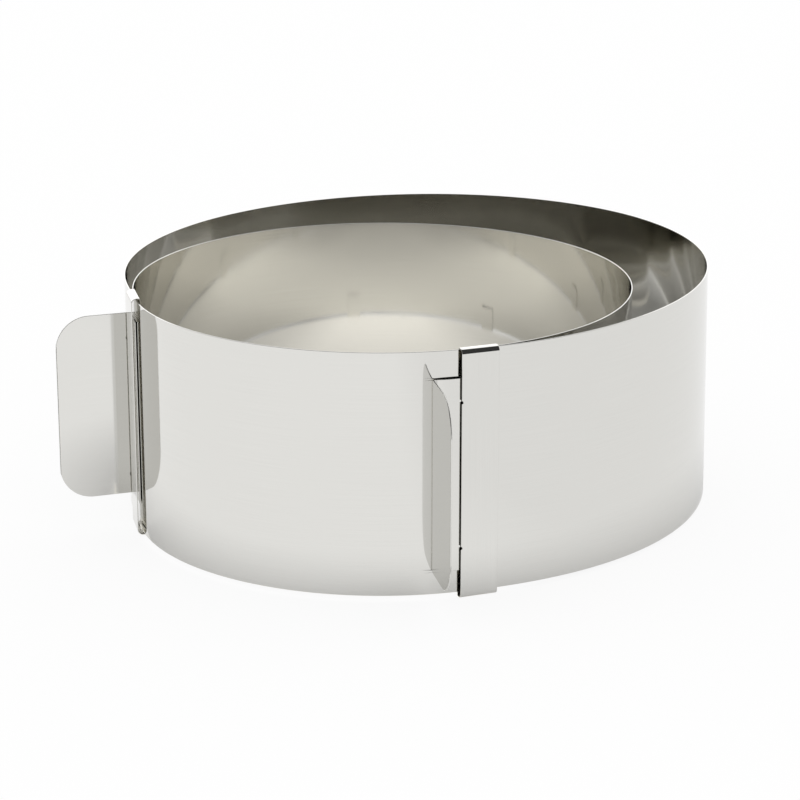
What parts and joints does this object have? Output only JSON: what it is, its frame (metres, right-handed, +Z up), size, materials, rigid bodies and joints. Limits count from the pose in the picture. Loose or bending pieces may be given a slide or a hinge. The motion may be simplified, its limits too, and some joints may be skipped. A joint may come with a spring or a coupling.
{
  "type": "adjustable cake ring",
  "caption": "Adjustable round cake ring: a springy polished steel strip wound over itself, with folded clips and flat grips at its ends that slide to set the diameter.",
  "frame": {"origin": "on the floor, on the vertical axis of the inner loop", "axes": "+Z up along the ring's axis, -Y towards someone who faces the grips, +X to their right"},
  "size_m": [0.2352, 0.2533, 0.0879],
  "materials": {
    "band_steel": "polished stainless spring strip, faint rolling grain along its length, fine wear marks where the clips slide",
    "clip_steel": "polished stainless sheet with rounded folded hems",
    "handle_steel": "polished stainless sheet, slightly satin from handling"
  },
  "bodies": {
    "band": {"band": "band_steel"},
    "outer_grip": {"outer_clip": "clip_steel", "outer_handle": "handle_steel"},
    "inner_grip": {"inner_clip": "clip_steel", "inner_handle": "handle_steel"}
  },
  "joints": [
    {"name": "outer_clip_slide", "type": "hinge", "parent": "band", "child": "outer_grip", "pos_m": [0, 0, 0], "axis": [0, 0, 1], "range_deg": [-39, 50], "deforming": ["band"]},
    {"name": "inner_clip_slide", "type": "hinge", "parent": "band", "child": "inner_grip", "pos_m": [0, 0, 0], "axis": [0, 0, 1], "range_deg": [-50, 39], "deforming": ["band"]}
  ]
}
